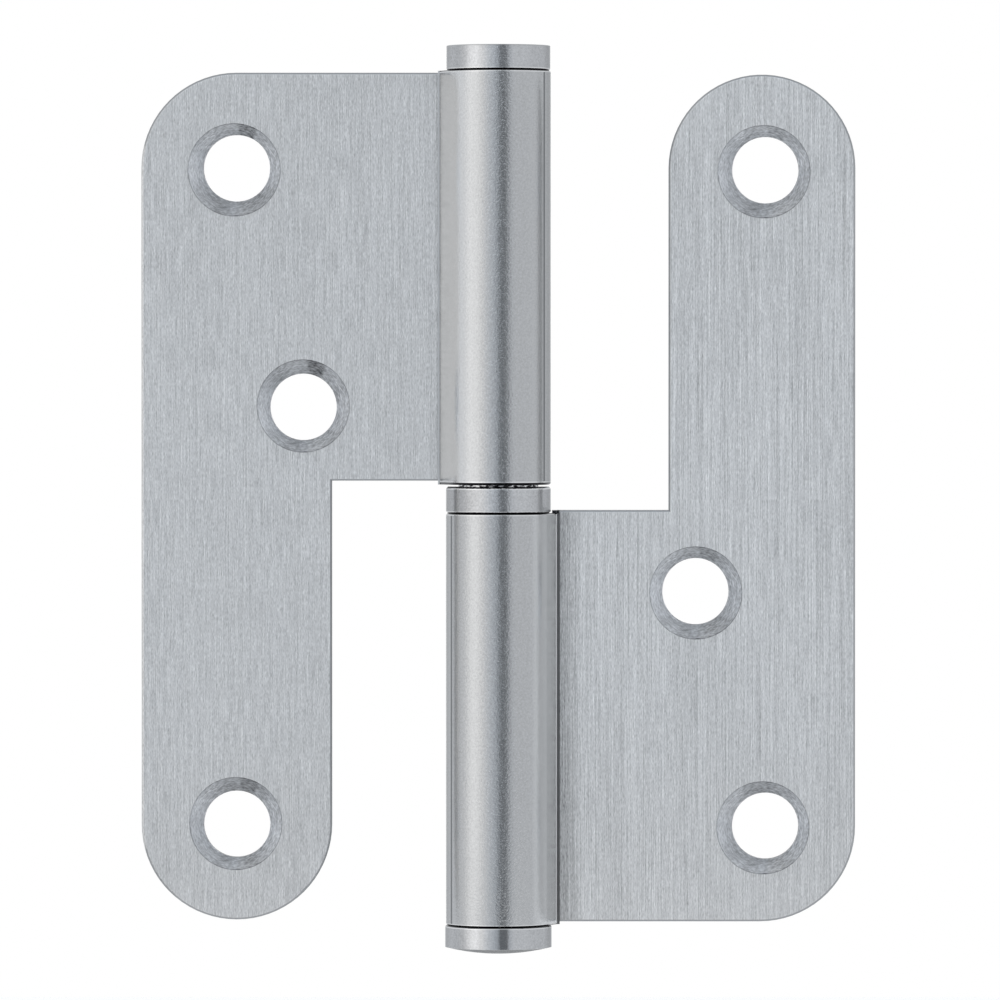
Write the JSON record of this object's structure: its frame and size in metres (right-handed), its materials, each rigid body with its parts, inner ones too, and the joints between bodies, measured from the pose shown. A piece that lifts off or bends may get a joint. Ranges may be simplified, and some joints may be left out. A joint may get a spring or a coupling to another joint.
{
  "type": "lift-off hinge",
  "caption": "Handed lift-off door hinge of pressed sheet steel: two L-shaped leaves with rolled knuckles, a fixed pin, a bearing ring and end caps. The door leaf swings and lifts off.",
  "frame": {"origin": "on the pin's axis, half way up the bearing ring, which is the middle of the hinge", "axes": "+Z along the pin, towards the door leaf's capped knuckle; the countersunk front faces look to -Y; the door leaf is on the -X side and the frame leaf on the +X side"},
  "size_m": [0.075, 0.0112, 0.0952],
  "materials": {
    "leaf_steel": "satin, fine upright grain",
    "turned_steel": "satin, turned"
  },
  "bodies": {
    "frame_leaf": {"frame_leaf": "leaf_steel", "pin": "turned_steel", "bottom_cap": "turned_steel"},
    "bearing_ring": {"bearing_ring": "turned_steel"},
    "door_leaf": {"door_leaf": "leaf_steel", "top_cap": "turned_steel"}
  },
  "joints": [
    {"name": "swing", "type": "hinge", "parent": "frame_leaf", "child": "bearing_ring", "pos_m": [0, 0, 0], "axis": [0, 0, 1], "range_deg": [-159, 180]},
    {"name": "lift", "type": "slide", "parent": "bearing_ring", "child": "door_leaf", "axis": [0, 0, 1], "range_m": [0, 0.045]}
  ]
}
